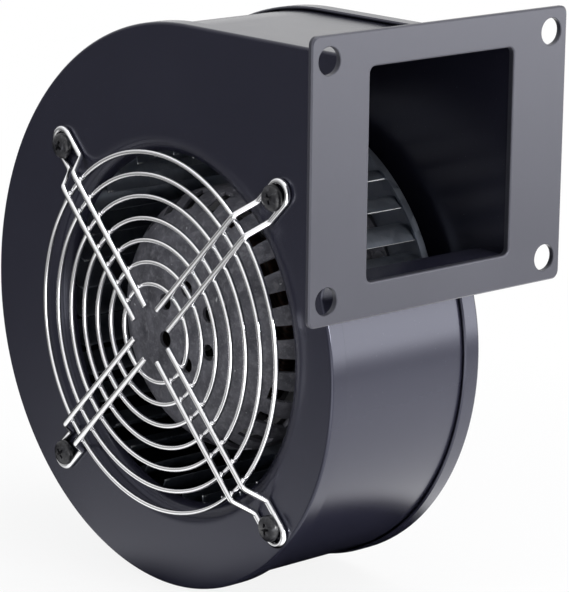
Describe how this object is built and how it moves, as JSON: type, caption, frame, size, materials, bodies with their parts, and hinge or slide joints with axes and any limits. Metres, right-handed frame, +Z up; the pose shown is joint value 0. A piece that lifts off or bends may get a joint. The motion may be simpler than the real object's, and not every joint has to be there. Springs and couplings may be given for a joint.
{
  "type": "centrifugal fan",
  "caption": "Small sheet-metal centrifugal fan: scroll casing with a wire-guarded round inlet, a flanged rectangular outlet and a wheel on an external-rotor motor.",
  "frame": {"origin": "centre of the outlet flange's face, between its four fixing holes", "axes": "+X out of the outlet, +Z up, -Y out of the inlet; the wheel turns about a line along Y"},
  "size_m": [0.1818, 0.105, 0.1934],
  "materials": {
    "casing_paint": "satin dark blue-black paint on sheet steel",
    "flange_paint": "satin dark blue-black paint",
    "guard_chrome": "bright chrome-plated wire",
    "screw_black": "black oxide on steel",
    "nut_zinc": "zinc-plated steel",
    "bracket_cast": "die-cast aluminium",
    "core_steel": "stacked electrical steel",
    "winding_copper": "varnished copper wire",
    "bearing_steel": "ground bearing steel",
    "spring_steel": "spring steel",
    "cap_steel": "zinc-plated steel",
    "grommet_rubber": "black rubber",
    "bell_zinc": "grey mottled finish on drawn steel",
    "cage_aluminium": "cast aluminium",
    "wheel_steel": "galvanised sheet steel"
  },
  "bodies": {
    "casing": {"front_plate": "casing_paint", "scroll_strip": "casing_paint", "back_plate": "casing_paint", "outlet_flange": "flange_paint", "guard_rings": "guard_chrome", "guard_arms": "guard_chrome", "guard_screws": "screw_black", "guard_nuts": "nut_zinc", "motor_bracket": "bracket_cast", "bracket_screws": "screw_black", "stator_core": "core_steel", "stator_windings": "winding_copper", "front_bearing_outer_ring": "bearing_steel", "rear_bearing_outer_ring": "bearing_steel", "wave_washer": "spring_steel", "bearing_cap": "cap_steel", "cable_grommet": "grommet_rubber"},
    "wheel": {"rotor_bell": "bell_zinc", "rotor_hub": "cap_steel", "rotor_shaft": "bearing_steel", "rotor_core": "core_steel", "rotor_end_rings": "cage_aluminium", "front_bearing_inner_ring": "bearing_steel", "rear_bearing_inner_ring": "bearing_steel", "front_bearing_balls": "bearing_steel", "rear_bearing_balls": "bearing_steel", "retaining_ring": "spring_steel", "impeller_disc": "wheel_steel", "impeller_blades": "wheel_steel", "impeller_front_ring": "wheel_steel", "impeller_rivets": "nut_zinc"}
  },
  "joints": [
    {"name": "wheel_spin", "type": "hinge", "parent": "casing", "child": "wheel", "pos_m": [-0.0905, 0, -0.06485], "axis": [0, 1, 0], "continuous": true}
  ]
}
